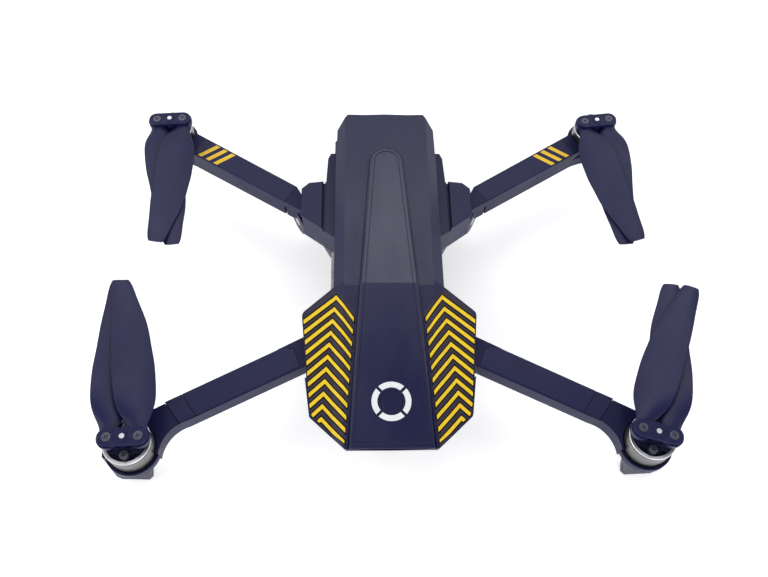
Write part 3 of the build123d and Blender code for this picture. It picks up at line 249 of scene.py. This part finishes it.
def rubber(name, colour):
    """Soft rubber with a dusty bloom."""
    material, tree, shader = start_material(name)
    vector = object_coords(tree)
    bloom = remap(tree, noise(tree, vector, 1.5 * MM, 5), 0.4, 0.7, 0, 1)
    base = blend_colours(tree, maths(tree, "MULTIPLY", bloom, 0.5), colour, tint(colour, 2.4, 0.02))
    tree.links.new(base, shader.inputs["Base Color"])
    tree.links.new(remap(tree, bloom, 0, 1, 0.7, 0.9), shader.inputs["Roughness"])
    pores = noise(tree, vector, 0.4 * MM, 3)
    tree.links.new(bump(tree, pores, 0.02 * MM, 0.6), shader.inputs["Normal"])
    return material


def board(name):
    """Green lacquered circuit board with copper tracks showing through."""
    material, tree, shader = start_material(name)
    tracks = tree.nodes.new("ShaderNodeTexBrick")
    tracks.inputs["Scale"].default_value = 260
    tracks.inputs["Color1"].default_value = (0.012, 0.09, 0.035, 1)
    tracks.inputs["Color2"].default_value = (0.010, 0.07, 0.030, 1)
    tracks.inputs["Mortar"].default_value = (0.05, 0.20, 0.07, 1)
    vector = object_coords(tree)
    tree.links.new(vector, tracks.inputs["Vector"])
    haze = noise(tree, vector, 2 * MM, 4)
    cloudy = remap(tree, haze, 0.3, 0.8, 0, 0.4)
    base = blend_colours(tree, cloudy, tracks.outputs["Color"], (0.02, 0.05, 0.03))
    tree.links.new(base, shader.inputs["Base Color"])
    tree.links.new(remap(tree, haze, 0.3, 0.7, 0.25, 0.4), shader.inputs["Roughness"])
    return material


def milky(name, colour):
    """White light guide: light scatters a little below its surface."""
    material, tree, shader = start_material(name)
    vector = object_coords(tree)
    cloud = remap(tree, noise(tree, vector, 1.8 * MM, 4), 0.3, 0.7, 0, 1)
    base = blend_colours(tree, cloud, colour, tint(colour, 0.92))
    tree.links.new(base, shader.inputs["Base Color"])
    tree.links.new(remap(tree, cloud, 0, 1, 0.30, 0.42), shader.inputs["Roughness"])
    shader.inputs["Subsurface Weight"].default_value = 0.15
    shader.inputs["Subsurface Scale"].default_value = 0.0006
    wave = noise(tree, vector, 0.5 * MM, 3)
    tree.links.new(bump(tree, wave, 0.006 * MM, 0.5), shader.inputs["Normal"])
    return material


def coated_glass(name, colour):
    """Dark coated lens glass with a faint violet bloom and dust."""
    material, tree, shader = start_material(name)
    vector = object_coords(tree)
    dust = remap(tree, noise(tree, vector, 0.9 * MM, 6, 0.7), 0.55, 0.8, 0, 1)
    base = blend_colours(tree, maths(tree, "MULTIPLY", dust, 0.3), colour, (0.10, 0.10, 0.13))
    tree.links.new(base, shader.inputs["Base Color"])
    tree.links.new(remap(tree, dust, 0, 1, 0.03, 0.16), shader.inputs["Roughness"])
    shader.inputs["Coat Weight"].default_value = 1.0
    shader.inputs["Coat Roughness"].default_value = 0.03
    shader.inputs["Coat Tint"].default_value = (0.75, 0.70, 1.0, 1)
    return material


# One finish for each material slot of the CAD.
NAVY = (0.0064, 0.0073, 0.050)
ARM_NAVY = (0.0072, 0.0080, 0.050)
finishes = {
    "shell_plastic": moulded("shell_plastic", NAVY, 0.35, shine=0.50),
    "spine_plastic": moulded("spine_plastic", (0.0068, 0.0077, 0.051), 0.33, shine=0.68),
    "light_guide": milky("light_guide", (0.90, 0.91, 0.93)),
    "button_plastic": moulded("button_plastic", (0.0068, 0.0076, 0.048), 0.36, grain_size=0.7 * MM),
    "bottom_plastic": moulded("bottom_plastic", (0.0068, 0.0070, 0.038), 0.50, shine=0.18),
    "pad_rubber": rubber("pad_rubber", (0.012, 0.012, 0.015)),
    "sensor_glass": coated_glass("sensor_glass", (0.006, 0.006, 0.012)),
    "screw_steel": metal("screw_steel", (0.42, 0.42, 0.44), 0.32, turned=False),
    "circuit_board": board("circuit_board"),
    "battery_plastic": moulded("battery_plastic", (0.014, 0.014, 0.040), 0.44),
    "bracket_plastic": moulded("bracket_plastic", (0.010, 0.010, 0.018), 0.48, grain_size=0.6 * MM),
    "camera_plastic": gloss("camera_plastic", (0.010, 0.010, 0.016), 0.24),
    "lens_glass": coated_glass("lens_glass", (0.008, 0.008, 0.020)),
    "pin_steel": metal("pin_steel", (0.55, 0.55, 0.56), 0.30, turned=False),
    "latch_plastic": moulded("latch_plastic", (0.018, 0.018, 0.048), 0.42, grain_size=0.6 * MM),
    "block_plastic": moulded("block_plastic", (0.0088, 0.0096, 0.056), 0.42, shine=0.32),
    "arm_plastic": moulded("arm_plastic", ARM_NAVY, 0.42, shine=0.22),
    "arm_cover_plastic": moulded(
        "arm_cover_plastic", (0.0085, 0.0092, 0.056), 0.38, grain_size=0.8 * MM, shine=0.28
    ),
    "foot_plastic": moulded("foot_plastic", (0.0090, 0.0095, 0.042), 0.46, shine=0.2),
    "stripe_print": printed("stripe_print", (0.88, 0.60, 0.012)),
    "chevron_print": printed("chevron_print", (0.90, 0.66, 0.010)),
    "stator_iron": metal("stator_iron", (0.16, 0.10, 0.06), 0.45, turned=False),
    # The bell's upright walls carry painted shade, much darker than its rim and web.
    "bell_aluminium": metal("bell_aluminium", (0.80, 0.80, 0.82), 0.36, stained=0.14, wall_painted_shade=0.27),
    "mount_plastic": gloss("mount_plastic", (0.006, 0.006, 0.028), 0.38, shine=0.25),
    "clamp_plastic": gloss("clamp_plastic", (0.0072, 0.0084, 0.054), 0.38, shine=0.25),
    "prop_screw_steel": metal("prop_screw_steel", (0.13, 0.13, 0.17), 0.40, turned=False),
    "blade_plastic": moulded(
        "blade_plastic",
        (0.0092, 0.0098, 0.060),
        0.40,
        grain_size=1.1 * MM,
        depth=0.014 * MM,
        shine=0.36,
    ),
}
for entry in frame["record"]["subparts"]:
    mesh = nodes[entry["node"]].data
    for index in range(max(1, len(mesh.materials))):
        if index < len(mesh.materials):
            mesh.materials[index] = finishes[entry["material_slot"]]
        else:
            mesh.materials.append(finishes[entry["material_slot"]])


# ---- small pieces that ride on the CAD bodies -----------------------------------------


def settle(name, mesh, body, finish, rounding=0.0, segments=2):
    """Make an object of a bmesh built in millimetres, and let it ride on a body."""
    bmesh.ops.recalc_face_normals(mesh, faces=mesh.faces)
    for vert in mesh.verts:
        vert.co *= MM
    data = bpy.data.meshes.new(name)
    mesh.to_mesh(data)
    mesh.free()
    data.materials.append(finish)
    piece = bpy.data.objects.new(name, data)
    bpy.context.scene.collection.objects.link(piece)
    if rounding:
        bevel = piece.modifiers.new("rounding", "BEVEL")
        bevel.width = rounding * MM
        bevel.segments = segments
        bevel.limit_method = "ANGLE"
        bevel.harden_normals = True
    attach(piece, body)
    return piece


def prism(mesh, outline, low, high, place=None):
    """Add an upright prism on an outline; place is a matrix that moves it."""
    place = place or Matrix()
    bottom = [mesh.verts.new(place @ Vector((x, y, low))) for x, y in outline]
    top = [mesh.verts.new(place @ Vector((x, y, high))) for x, y in outline]
    mesh.faces.new(bottom)
    mesh.faces.new(top)
    for n in range(len(outline)):
        m = (n + 1) % len(outline)
        mesh.faces.new((bottom[n], bottom[m], top[m], top[n]))


def slot_outline(length, width, centre=(0, 0), angle=0.0, count=6):
    """A straight slot with round ends."""
    points = []
    for end in (1, -1):
        for n in range(count + 1):
            a = math.radians(-90 + 180 * n / count) + (0 if end > 0 else math.pi)
            middle = end * (length - width) / 2
            points.append((middle + width / 2 * math.cos(a), width / 2 * math.sin(a)))
    c, s = math.cos(angle), math.sin(angle)
    return [(centre[0] + x * c - y * s, centre[1] + x * s + y * c) for x, y in points]


def lathe(mesh, profile, count, place):
    """Turn a closed profile of (radius, height) round the Z axis of place."""
    rings = []
    for n in range(count):
        c, s = math.cos(2 * math.pi * n / count), math.sin(2 * math.pi * n / count)
        rings.append([mesh.verts.new(place @ Vector((r * c, r * s, z))) for r, z in profile])
    for n in range(count):
        near, far = rings[n], rings[(n + 1) % count]
        for k in range(len(profile)):
            j = (k + 1) % len(profile)
            mesh.faces.new((near[k], near[j], far[j], far[k]))


def clip(outline, a, b):
    """The part of a convex outline on the left of the line from a to b."""
    def side(p):
        return (b[0] - a[0]) * (p[1] - a[1]) - (b[1] - a[1]) * (p[0] - a[0])

    kept = []
    for n, here in enumerate(outline):
        after = outline[(n + 1) % len(outline)]
        here_side, after_side = side(here), side(after)
        if here_side >= 0:
            kept.append(here)
        if here_side * after_side < 0:
            share = here_side / (here_side - after_side)
            kept.append(
                (here[0] + share * (after[0] - here[0]), here[1] + share * (after[1] - here[1]))
            )
    return kept


# The shoulder deck's section and slope, and the plans of the decal's film and of its ink,
# in millimetres on +X.
DECK = ((0, 44.6), (10, 44.8), (18.8, 45.6), (23.2, 44.0), (40, 42.6))
DECK_FALL = 0.105
DECK_BREAK_Y = -12.0
DECK_FACETS = ((0, 18.8), (18.8, 23.2), (23.2, 40))
GROUND = (
    (18.4, -78.6),
    (31.6, -66.4),
    (32.2, -61.5),
    (35.5, -25.2),
    (33.6, -21.6),
    (23.4, -13.6),
    (14.0, -24.0),
    (17.9, -77.0),
)
INK = ((18.1, -78.2), (31.4, -66.4), (32.6, -62.0), (35.7, -24.0), (22.0, -12.2), (13.8, -21.0))


def deck_z(x, y):
    """Height of the shoulder deck."""
    x = abs(x)
    for (x0, z0), (x1, z1) in zip(DECK, DECK[1:]):
        if x <= x1:
            break
    return z0 + (x - x0) / (x1 - x0) * (z1 - z0) - DECK_FALL * max(0, DECK_BREAK_Y - y)


def lay(mesh, outline, side, lift):
    """Lay a convex outline on the deck, split at the deck's creases."""
    for low, high in DECK_FACETS:
        facet = clip(clip(outline, (low, 0), (low, -1)), (high, -1), (high, 0))
        if len(facet) > 2:
            mesh.faces.new([mesh.verts.new((side * x, y, deck_z(x, y) + lift)) for x, y in facet])


CHEVRON_ROWS = 11
CHEVRON_APEX = (22.0, -16.2)
CHEVRON_PITCH = 5.04
CHEVRON_THICK = 1.9
CHEVRON_REACH = 15.0
INK_MARGIN = 0.72  # the dark outline, past each edge of a chevron
FILM_LIFT = 0.03
INK_LIFT = 0.06
VENTS = 9
VENT_PITCH = 3.2
film = moulded("decal_film", (0.030, 0.022, 0.044), 0.42, grain_size=0.7 * MM, shine=0.4)
outline_ink = printed("outline_ink", (0.004, 0.002, 0.006), 0.55, shine=0.1)
for side, word in ((-1, "left"), (1, "right")):
    mesh = bmesh.new()
    lay(mesh, GROUND, side, FILM_LIFT)
    settle(f"decal_film_{word}", mesh, "airframe", film)
    mesh = bmesh.new()
    for row in range(CHEVRON_ROWS):
        apex_x = CHEVRON_APEX[0] + 0.75 * row - 0.02 * row**2
        apex_y = CHEVRON_APEX[1] - CHEVRON_PITCH * row + INK_MARGIN
        thick = CHEVRON_THICK + 2 * INK_MARGIN
        for hand, fall in ((1, 0.76 + 0.015 * row), (-1, 1.40 - 0.031 * row)):
            far_x = apex_x + hand * CHEVRON_REACH
            far_y = apex_y - CHEVRON_REACH * fall
            bar = [(apex_x, apex_y), (apex_x, apex_y - thick), (far_x, far_y - thick), (far_x, far_y)]
            if hand < 0:
                bar.reverse()
            for n in range(len(INK)):
                bar = clip(bar, INK[n], INK[(n + 1) % len(INK)])
            if len(bar) > 2:
                lay(mesh, bar, side, INK_LIFT)
    settle(f"decal_outlines_{word}", mesh, "airframe", outline_ink)

    # A pale soft bead along the joint of the shells, between the shoulder and the block.
    mesh = bmesh.new()
    beside = Matrix.Translation((side * 24.0, 1.5, 0))
    prism(mesh, slot_outline(26.5, 2.0, angle=math.pi / 2), 26.2, 27.5, beside)
    bead = rubber("bead_rubber", (0.36, 0.37, 0.36))
    settle(f"seam_bead_{word}", mesh, "airframe", bead, 0.35)

    # Cooling slots in the side wall of the bottom shell.
    mesh = bmesh.new()
    wall = Matrix.Translation((side * 22.05, 0, 20.5)) @ Matrix.Rotation(math.pi / 2, 4, "Y")
    for n in range(VENTS):
        vent = slot_outline(6.0, 1.1, (0, -34 + VENT_PITCH * n), 0.35)
        prism(mesh, vent, -0.32, 0.32, wall)
    dark = finishes["bracket_plastic"]
    settle(f"side_vents_{word}", mesh, "airframe", dark, 0.12)

# Dark plates on the webs of the motor bells, dark rings at their seams, and screw heads under
# the motors. Each motor is given as its axis, the height of its rim and the arm's underside;
# each profile is in radius and height, from the rim or from the underside.
BELL_R = 9.2
REAR_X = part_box("motor_bell_rear_right")[0].x / MM + BELL_R
PLATE_PROFILE = ((5.9, -1.88), (7.5, -1.88), (7.5, -1.45), (7.2, -1.25), (5.9, -1.25))
PLATE_SPOKES = 12
SPOKE = [(6.1, -0.35), (7.3, -0.35), (7.3, 0.35), (6.1, 0.35)]
SEAM_PROFILE = ((9.0, -0.95), (9.23, -0.95), (9.23, -0.68), (9.0, -0.68))
SCREW_PROFILE = ((0.45, 0.1), (1.3, 0.1), (1.3, -0.16), (1.1, -0.25), (0.65, -0.25), (0.45, -0.05))
SCREW_CIRCLE_R = 6.0
MOTORS = {
    "front_left": (-100.0, -77.6, 44.0, 29.6),
    "front_right": (100.0, -77.6, 44.0, 29.6),
    "rear_left": (-REAR_X, 77.6, 37.0, 23.0),
    "rear_right": (REAR_X, 77.6, 37.0, 23.0),
}
dark = finishes["mount_plastic"]
for word, (x, y, rim, low) in MOTORS.items():
    on_rim = Matrix.Translation((x, y, rim))
    mesh = bmesh.new()
    lathe(mesh, PLATE_PROFILE, 72, on_rim)
    for n in range(PLATE_SPOKES):
        turned = on_rim @ Matrix.Rotation(math.radians(30 * n + 15), 4, "Z")
        prism(mesh, SPOKE, -1.30, -1.02, turned)
    settle(f"bell_web_plate_{word}", mesh, f"rotor_{word}", dark)
    mesh = bmesh.new()
    lathe(mesh, SEAM_PROFILE, 72, on_rim)
    settle(f"bell_seam_ring_{word}", mesh, f"rotor_{word}", dark)
    mesh = bmesh.new()
    for n in range(3):
        a = math.radians(120 * n + 30)
        place = (x + SCREW_CIRCLE_R * math.cos(a), y + SCREW_CIRCLE_R * math.sin(a), low)
        lathe(mesh, SCREW_PROFILE, 20, Matrix.Translation(place))
    settle(f"motor_screws_{word}", mesh, f"arm_{word}", finishes["screw_steel"])

# The camera's glass, stepped baffle and knurled bezel. The profiles are in radius and the
# distance forward of the camera's front face.
CAMERA_Z = 14.5
CAMERA_FRONT_Y = -71.2
BEZEL_BACK_Y = -66.2
KNURLS = 40
BAFFLE_PROFILE = (
    (3.0, -0.05),
    (4.3, -0.05),
    (4.3, 0.62),
    (3.95, 0.62),
    (3.7, 0.35),
    (3.4, 0.35),
    (3.15, 0.12),
)
GLASS_PROFILE = ((0.02, 0), (2.9, 0), (2.6, 0.22), (1.9, 0.42), (1.0, 0.54), (0.02, 0.58))
forward = Matrix.Rotation(math.pi / 2, 4, "X")
front = Matrix.Translation((0, CAMERA_FRONT_Y, CAMERA_Z)) @ forward
bezel = Matrix.Translation((0, BEZEL_BACK_Y, CAMERA_Z)) @ forward
mesh = bmesh.new()
lathe(mesh, BAFFLE_PROFILE, 64, front)
settle("camera_baffle", mesh, "camera", finishes["camera_plastic"])
mesh = bmesh.new()
lathe(mesh, GLASS_PROFILE, 48, front)
settle("camera_front_glass", mesh, "camera", finishes["lens_glass"])
mesh = bmesh.new()
for n in range(KNURLS):
    rib = bezel @ Matrix.Rotation(2 * math.pi * n / KNURLS, 4, "Z")
    prism(mesh, [(5.15, -0.22), (5.45, -0.16), (5.45, 0.16), (5.15, 0.22)], 1.8, 4.6, rib)
settle("camera_knurl", mesh, "camera", finishes["camera_plastic"])

# Battery tail: charge lights and the socket's tongue.
TAIL_Y = 79.4
LIGHTS_Z = 25.4
SOCKET_Z = 19.0
backward = Matrix.Rotation(-math.pi / 2, 4, "X")
tail = Matrix.Translation((0, TAIL_Y, LIGHTS_Z)) @ backward
mesh = bmesh.new()
for n in range(4):
    prism(mesh, slot_outline(2.2, 1.0, (-5.4 + 3.6 * n, 0)), -0.3, 0.12, tail)
settle("charge_lights", mesh, "battery", finishes["light_guide"], 0.08)
mesh = bmesh.new()
socket = Matrix.Translation((0, TAIL_Y, SOCKET_Z)) @ backward
prism(mesh, slot_outline(6.6, 0.8), -3.9, -0.9, socket)
settle("socket_tongue", mesh, "battery", finishes["screw_steel"], 0.1)

# Rubber soles on the front feet and cooling slots in the belly.
SOLE = (
    (100.2, -75.6),
    (99.6, -79.1),
    (101.1, -80.7),
    (112.5, -80.3),
    (115.0, -79.2),
    (118.2, -74.3),
    (115.3, -72.9),
)
for side, word in ((-1, "left"), (1, "right")):
    mesh = bmesh.new()
    prism(mesh, [(side * x, y) for x, y in SOLE], 0.0, 0.9)
    settle(f"foot_sole_{word}", mesh, f"arm_front_{word}", finishes["pad_rubber"], 0.15)
mesh = bmesh.new()
for n in range(7):
    for x in (-6.4, 6.4):
        prism(mesh, slot_outline(9.0, 1.3, (x, 10 + 3.4 * n)), 7.9, 8.2)
settle("belly_vents", mesh, "airframe", finishes["bracket_plastic"], 0.08)

# ---- floor, light and camera ------------------------------------------------------
floor_mesh = bmesh.new()
bmesh.ops.create_grid(floor_mesh, x_segments=8, y_segments=8, size=3.0)
floor_data = bpy.data.meshes.new("floor")
floor_mesh.to_mesh(floor_data)
floor_mesh.free()
floor = bpy.data.objects.new("floor", floor_data)
bpy.context.scene.collection.objects.link(floor)
paper, tree, shader = start_material("floor_paper")
fibre = noise(tree, object_coords(tree), 30 * MM, 4)
paper_colour = blend_colours(tree, fibre, (0.93, 0.93, 0.93), (0.90, 0.90, 0.905))
tree.links.new(paper_colour, shader.inputs["Base Color"])
shader.inputs["Roughness"].default_value = 0.85
tree.links.new(paper_colour, shader.inputs["Emission Color"])
shader.inputs["Emission Strength"].default_value = 0.50
floor_data.materials.append(paper)

world = bpy.data.worlds.new("studio")
bpy.context.scene.world = world
world.use_nodes = True
sky = world.node_tree
background = sky.nodes["Background"]
direction = sky.nodes.new("ShaderNodeTexCoord")
parts = sky.nodes.new("ShaderNodeSeparateXYZ")
sky.links.new(direction.outputs["Generated"], parts.inputs["Vector"])
height = remap(sky, parts.outputs["Z"], 0.55, 1.0, 0.0, 1.0)
overhead = blend_colours(sky, height, (1.0, 1.0, 1.0), (0.08, 0.085, 0.11))
sky.links.new(overhead, background.inputs["Color"])
background.inputs["Strength"].default_value = 0.95


def softbox(name, place, target, width, height, watts):
    """A rectangular area light that faces target."""
    light = bpy.data.lights.new(name, "AREA")
    light.shape = "RECTANGLE"
    light.size = width
    light.size_y = height
    light.energy = watts
    lamp = bpy.data.objects.new(name, light)
    lamp.location = place
    lamp.rotation_euler = (Vector(target) - Vector(place)).to_track_quat("-Z", "Y").to_euler()
    bpy.context.scene.collection.objects.link(lamp)


DRONE = (0, 0, 0.03)
softbox("key", (0.0, 0.52, 0.97), DRONE, 1.1, 0.40, 2.9)
softbox("fill", (-0.8, -0.2, 0.7), DRONE, 0.8, 0.8, 2.5)
softbox("front", (0.5, -0.9, 0.6), DRONE, 0.8, 0.5, 2.5)

# The camera stands in front of the nose and looks steeply down on the drone.
CAMERA_PLACE = (-0.01271, -0.16841, 0.33680)
CAMERA_PITCH = 62.0
CAMERA_YAW = -3.89
CAMERA_ROLL = -3.25
CAMERA_LENS = 37.28
camera_data = bpy.data.cameras.new("camera")
camera_data.lens = CAMERA_LENS
camera_data.sensor_width = 36.0
camera_data.clip_start = 0.01
camera = bpy.data.objects.new("camera", camera_data)
turn = (
    Matrix.Rotation(math.radians(CAMERA_YAW), 4, "Z")
    @ Matrix.Rotation(math.radians(90 - CAMERA_PITCH), 4, "X")
    @ Matrix.Rotation(math.radians(-CAMERA_ROLL), 4, "Z")
)
camera.matrix_world = Matrix.Translation(CAMERA_PLACE) @ turn
bpy.context.scene.collection.objects.link(camera)
bpy.context.scene.camera = camera
bpy.context.scene.view_settings.view_transform = "Standard"
